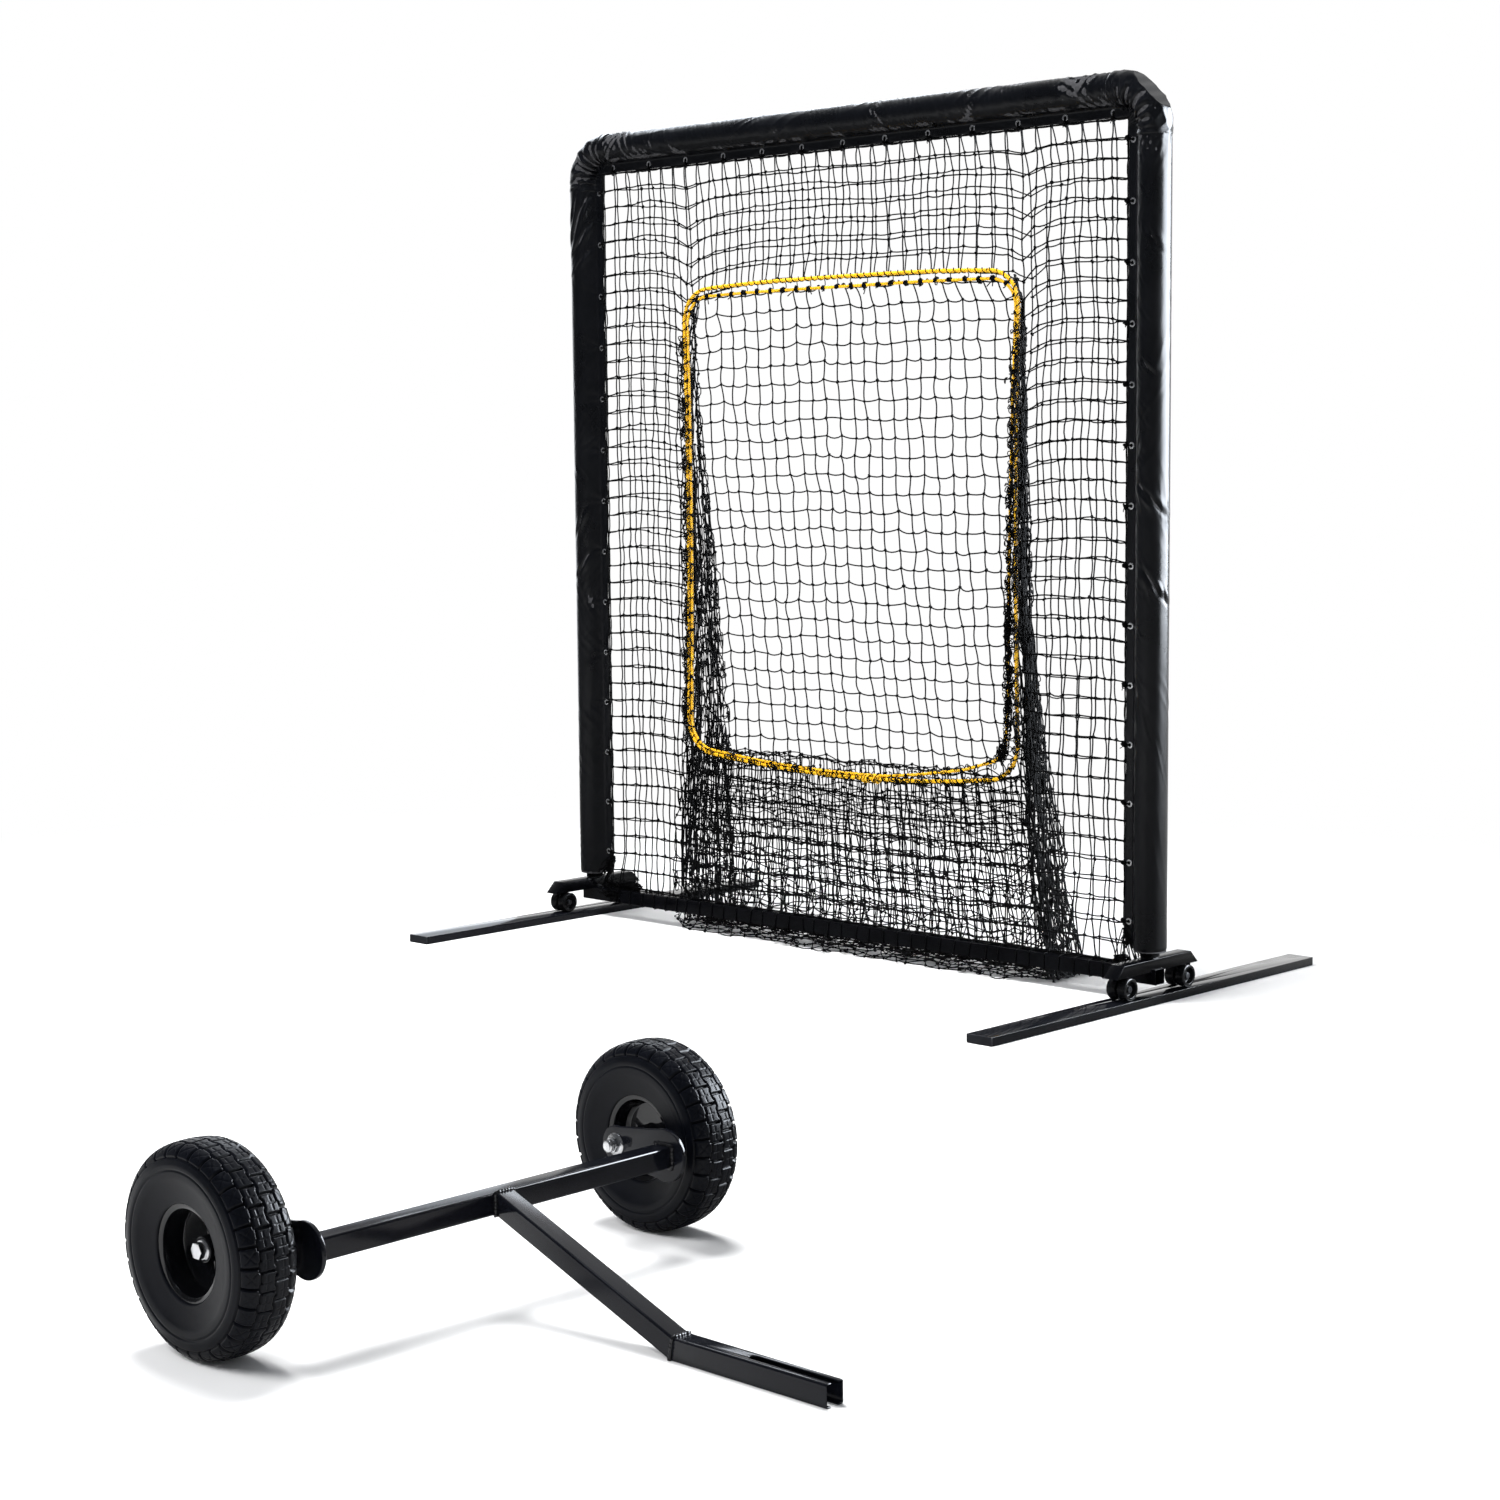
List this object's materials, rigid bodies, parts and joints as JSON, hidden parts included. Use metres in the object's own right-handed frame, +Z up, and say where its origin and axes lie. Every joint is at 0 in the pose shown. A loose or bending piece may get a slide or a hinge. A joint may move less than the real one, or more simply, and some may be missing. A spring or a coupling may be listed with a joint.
{
  "type": "batting sock net with wheel kit",
  "caption": "Padded steel net frame with a roped opening into a sock net, standing on two leg bars with foot rollers, beside its detached wheel kit with a slotted fork.",
  "frame": {"origin": "centre of the right leg's underside, on the floor", "axes": "+Z up, +X across the frame toward the right leg as seen from the batter's side, -Y toward the batter and the wheel kit"},
  "size_m": [3.507, 3.9835, 2.315],
  "materials": {
    "black_paint": "gloss powder coat",
    "rim": "deep gloss enamel",
    "tyre": "satin moulded rubber",
    "zinc": "bright zinc plate",
    "eyelet": "bright nickel",
    "roller_plastic": "gloss",
    "end_cap": "satin",
    "foam": "closed-cell foam",
    "vinyl": "gloss coated fabric",
    "tie": "satin",
    "yellow_rope": "braided",
    "net_twine": "knotted twine"
  },
  "bodies": {
    "right_leg_body": {"right_leg": "black_paint", "right_leg_caps": "end_cap"},
    "left_leg_body": {"left_leg": "black_paint", "left_leg_caps": "end_cap"},
    "net_frame": {"left_post": "black_paint", "right_post": "black_paint", "left_bend": "black_paint", "right_bend": "black_paint", "top_pipe": "black_paint", "bottom_rail": "black_paint", "left_saddle": "black_paint", "right_saddle": "black_paint", "left_pin": "black_paint", "right_pin": "black_paint", "left_front_roller_bolt": "zinc", "left_rear_roller_bolt": "zinc", "right_front_roller_bolt": "zinc", "right_rear_roller_bolt": "zinc", "left_foam": "foam", "right_foam": "foam", "top_foam": "foam", "left_cover": "vinyl", "right_cover": "vinyl", "top_cover": "vinyl", "left_corner_cover": "vinyl", "right_corner_cover": "vinyl", "left_grommets": "eyelet", "right_grommets": "eyelet", "top_grommets": "eyelet", "net_ties": "tie", "net_left": "net_twine", "net_right": "net_twine", "net_top": "net_twine", "net_bottom": "net_twine", "sock_net": "net_twine", "opening_rope": "yellow_rope", "mouth_rope": "yellow_rope", "rail_lashing": "net_twine"},
    "kit": {"kit_beam": "black_paint", "kit_tongue": "black_paint", "kit_fork": "black_paint", "kit_left_ear": "black_paint", "kit_right_ear": "black_paint", "kit_left_axle": "zinc", "kit_right_axle": "zinc", "kit_left_nut": "zinc", "kit_right_nut": "zinc"},
    "kit_left_wheel": {"kit_left_tyre": "tyre", "kit_left_rim": "rim", "kit_left_bearings": "zinc"},
    "kit_right_wheel": {"kit_right_tyre": "tyre", "kit_right_rim": "rim", "kit_right_bearings": "zinc"},
    "left_front_roller_body": {"left_front_roller": "roller_plastic"},
    "left_rear_roller_body": {"left_rear_roller": "roller_plastic"},
    "right_front_roller_body": {"right_front_roller": "roller_plastic"},
    "right_rear_roller_body": {"right_rear_roller": "roller_plastic"}
  },
  "joints": [
    {"name": "frame_lift", "type": "slide", "parent": "right_leg_body", "child": "net_frame", "axis": [0, 0, 1], "range_m": [0, 0.03]},
    {"name": "left_leg_release", "type": "slide", "parent": "net_frame", "child": "left_leg_body", "axis": [0, 0, -1], "range_m": [0, 0.03]},
    {"name": "left_front_roller_spin", "type": "hinge", "parent": "net_frame", "child": "left_front_roller_body", "pos_m": [-2.059, -0.124, 0.0508], "axis": [1, 0, 0], "continuous": true},
    {"name": "left_rear_roller_spin", "type": "hinge", "parent": "net_frame", "child": "left_rear_roller_body", "pos_m": [-2.059, 0.124, 0.0508], "axis": [1, 0, 0], "continuous": true},
    {"name": "right_front_roller_spin", "type": "hinge", "parent": "net_frame", "child": "right_front_roller_body", "pos_m": [0, -0.124, 0.0508], "axis": [1, 0, 0], "continuous": true},
    {"name": "right_rear_roller_spin", "type": "hinge", "parent": "net_frame", "child": "right_rear_roller_body", "pos_m": [0, 0.124, 0.0508], "axis": [1, 0, 0], "continuous": true},
    {"name": "kit_roll", "type": "slide", "parent": "right_leg_body", "child": "kit", "axis": [1, 0, 0], "range_m": [-0.25, 0.35]},
    {"name": "kit_left_wheel_spin", "type": "hinge", "parent": "kit", "child": "kit_left_wheel", "pos_m": [0.541, -2.2745, 0.173], "axis": [0, 1, 0], "continuous": true},
    {"name": "kit_right_wheel_spin", "type": "hinge", "parent": "kit", "child": "kit_right_wheel", "pos_m": [0.541, -3.2395, 0.173], "axis": [0, 1, 0], "continuous": true}
  ],
  "couplings": [
    {"joint": "left_leg_release", "follows": "frame_lift", "ratio": 1}
  ]
}
